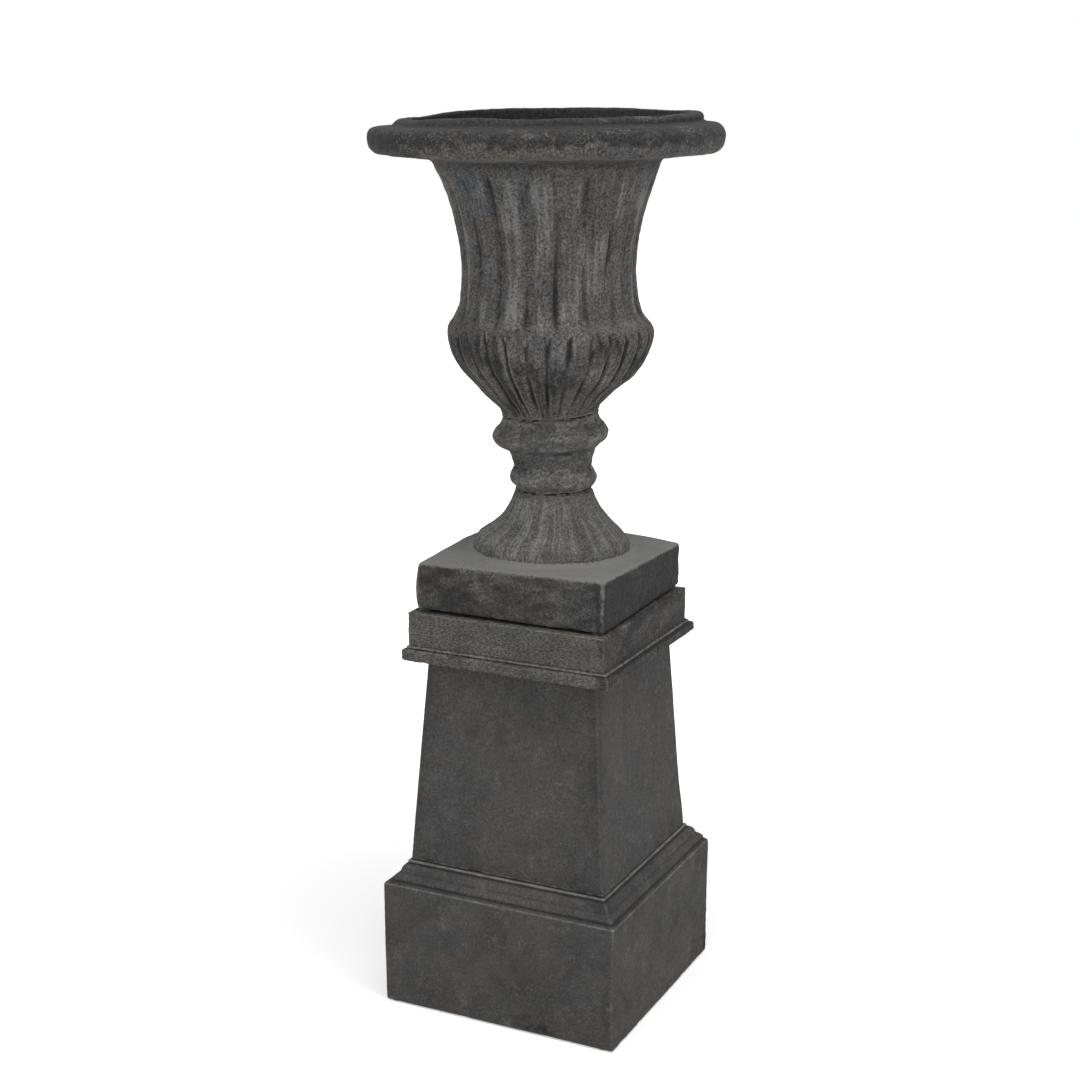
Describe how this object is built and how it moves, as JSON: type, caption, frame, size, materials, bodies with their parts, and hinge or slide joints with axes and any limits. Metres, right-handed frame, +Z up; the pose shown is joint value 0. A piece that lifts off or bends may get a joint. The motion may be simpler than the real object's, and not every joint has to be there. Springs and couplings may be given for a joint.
{
  "type": "urn planter on pedestal",
  "caption": "Tall fluted urn planter in weathered charcoal stone on a tapered square pedestal; the urn lifts off and drains through a hollow tie tube.",
  "frame": {"origin": "on the floor, under the centre of the square pedestal", "axes": "+Z up; X and Y square to the pedestal's faces"},
  "size_m": [0.4686, 0.4685, 1.233],
  "materials": {
    "urn_stone": "weathered charcoal cast stone, matt, gritty",
    "pedestal_stone": "weathered charcoal cast stone, matt, worn light arrises",
    "mortar": "dark bedding mortar, rough",
    "steel": "stainless, satin",
    "rubber": "black, matt"
  },
  "bodies": {
    "pedestal": {"floor_pads": "rubber", "pedestal_plinth": "pedestal_stone", "die_joint_bed": "mortar", "die_dowels": "steel", "pedestal_die": "pedestal_stone", "cap_joint_bed": "mortar", "cap_dowels": "steel", "pedestal_cap": "pedestal_stone"},
    "urn": {"urn_bumpers": "rubber", "urn_foot": "urn_stone", "stem_joint_bed": "mortar", "urn_stem": "urn_stone", "bowl_joint_bed": "mortar", "urn_bowl": "urn_stone", "tie_tube": "steel", "clamp_plate": "steel", "clamp_washer": "steel", "clamp_nut": "steel", "bowl_seal": "rubber", "bowl_washer": "steel", "bowl_nut": "steel"},
    "plug": {"drain_plug": "rubber"}
  },
  "joints": [
    {"name": "urn_lift", "type": "slide", "parent": "pedestal", "child": "urn", "axis": [0, 0, 1], "range_m": [0, 0.25]},
    {"name": "plug_pull", "type": "slide", "parent": "urn", "child": "plug", "axis": [0, 0, 1], "range_m": [0, 0.06]}
  ]
}
